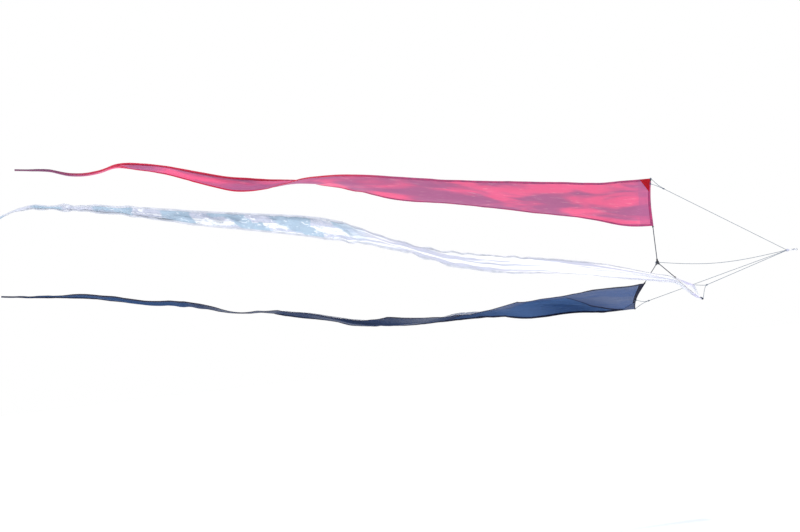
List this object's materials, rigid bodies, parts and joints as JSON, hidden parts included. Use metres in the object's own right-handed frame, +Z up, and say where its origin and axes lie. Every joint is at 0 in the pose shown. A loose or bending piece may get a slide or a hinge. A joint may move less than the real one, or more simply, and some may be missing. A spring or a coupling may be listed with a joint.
{
  "type": "three-tailed line spinner",
  "caption": "Spinning line streamer: hub and swept rods carry long tapering cloth tails behind a gathered cord bridle and a swivel.",
  "frame": {"origin": "centre of the swivel's front eye, where the towing line ties on", "axes": "+X along the towing line, the streamers trail towards -X; +Z up along the red arm; +Y along the tow eye's hole"},
  "size_m": [3.7472, 0.7005, 0.8301],
  "materials": {
    "hub_plastic": "moulded black nylon",
    "rod_fibreglass": "dark pultruded fibreglass",
    "cap_vinyl": "black vinyl",
    "swivel_metal": "nickel plated",
    "cord_grey_blue": "braided polyester cord",
    "knot_pale": "braided polyester cord, pulled tight",
    "red_nylon": "ripstop nylon, translucent",
    "red_patch_cloth": "woven polyester",
    "red_hem_cloth": "folded ripstop nylon",
    "white_nylon": "ripstop nylon, translucent, crinkled",
    "white_patch_cloth": "woven polyester",
    "blue_nylon": "ripstop nylon, translucent",
    "blue_patch_cloth": "woven polyester",
    "blue_hem_cloth": "folded ripstop nylon"
  },
  "bodies": {
    "tow_side": {"swivel_body": "swivel_metal", "swivel_cap": "swivel_metal", "swivel_balls": "swivel_metal"},
    "spinner": {"swivel_shaft": "swivel_metal", "head_loop": "knot_pale", "head_knot": "knot_pale", "centre_line": "cord_grey_blue", "stopper_knot": "cord_grey_blue", "hub": "hub_plastic"},
    "red_arm": {"red_rod": "rod_fibreglass", "red_stop": "cap_vinyl", "red_sleeve": "red_nylon", "red_tip_cap": "cap_vinyl", "red_yoke_outer": "cord_grey_blue", "red_yoke_inner": "cord_grey_blue", "red_yoke_knot": "cord_grey_blue", "red_leg": "cord_grey_blue"},
    "red_streamer": {"red_panel": "red_nylon", "red_outer_hem": "red_hem_cloth", "red_inner_hem": "red_hem_cloth", "red_corner_patch": "red_patch_cloth"},
    "white_arm": {"white_rod": "rod_fibreglass", "white_stop": "cap_vinyl", "white_sleeve": "white_nylon", "white_tip_cap": "cap_vinyl", "white_yoke_outer": "cord_grey_blue", "white_yoke_inner": "cord_grey_blue", "white_yoke_knot": "cord_grey_blue", "white_leg": "cord_grey_blue"},
    "white_streamer": {"white_panel": "white_nylon", "white_outer_hem": "white_nylon", "white_inner_hem": "white_nylon", "white_corner_patch": "white_patch_cloth"},
    "blue_arm": {"blue_rod": "rod_fibreglass", "blue_stop": "cap_vinyl", "blue_sleeve": "blue_hem_cloth", "blue_tip_cap": "cap_vinyl", "blue_yoke_outer": "cord_grey_blue", "blue_yoke_inner": "cord_grey_blue", "blue_yoke_knot": "cord_grey_blue", "blue_leg": "cord_grey_blue"},
    "blue_streamer": {"blue_panel": "blue_nylon", "blue_outer_hem": "blue_hem_cloth", "blue_inner_hem": "blue_hem_cloth", "blue_corner_patch": "blue_patch_cloth"}
  },
  "joints": [
    {"name": "swivel_spin", "type": "hinge", "parent": "tow_side", "child": "spinner", "pos_m": [0, 0, 0], "axis": [1, 0, 0], "continuous": true},
    {"name": "red_arm_pull", "type": "slide", "parent": "spinner", "child": "red_arm", "axis": [0, 0, 1], "range_m": [0, 0.016]},
    {"name": "red_streamer_trail", "type": "hinge", "parent": "red_arm", "child": "red_streamer", "pos_m": [-0.772, 0, 0], "axis": [0, 0, 1], "range_deg": [-4, 10]},
    {"name": "white_arm_pull", "type": "slide", "parent": "spinner", "child": "white_arm", "axis": [0, -0.866, -0.5], "range_m": [0, 0.016]},
    {"name": "white_streamer_trail", "type": "hinge", "parent": "white_arm", "child": "white_streamer", "pos_m": [-0.772, 0, 0], "axis": [0, -0.866, -0.5], "range_deg": [-10, 0]},
    {"name": "blue_arm_pull", "type": "slide", "parent": "spinner", "child": "blue_arm", "axis": [0, 0.866, -0.5], "range_m": [0, 0.016]},
    {"name": "blue_streamer_trail", "type": "hinge", "parent": "blue_arm", "child": "blue_streamer", "pos_m": [-0.772, 0, 0], "axis": [0, 0.866, -0.5], "range_deg": [0, 10]}
  ]
}
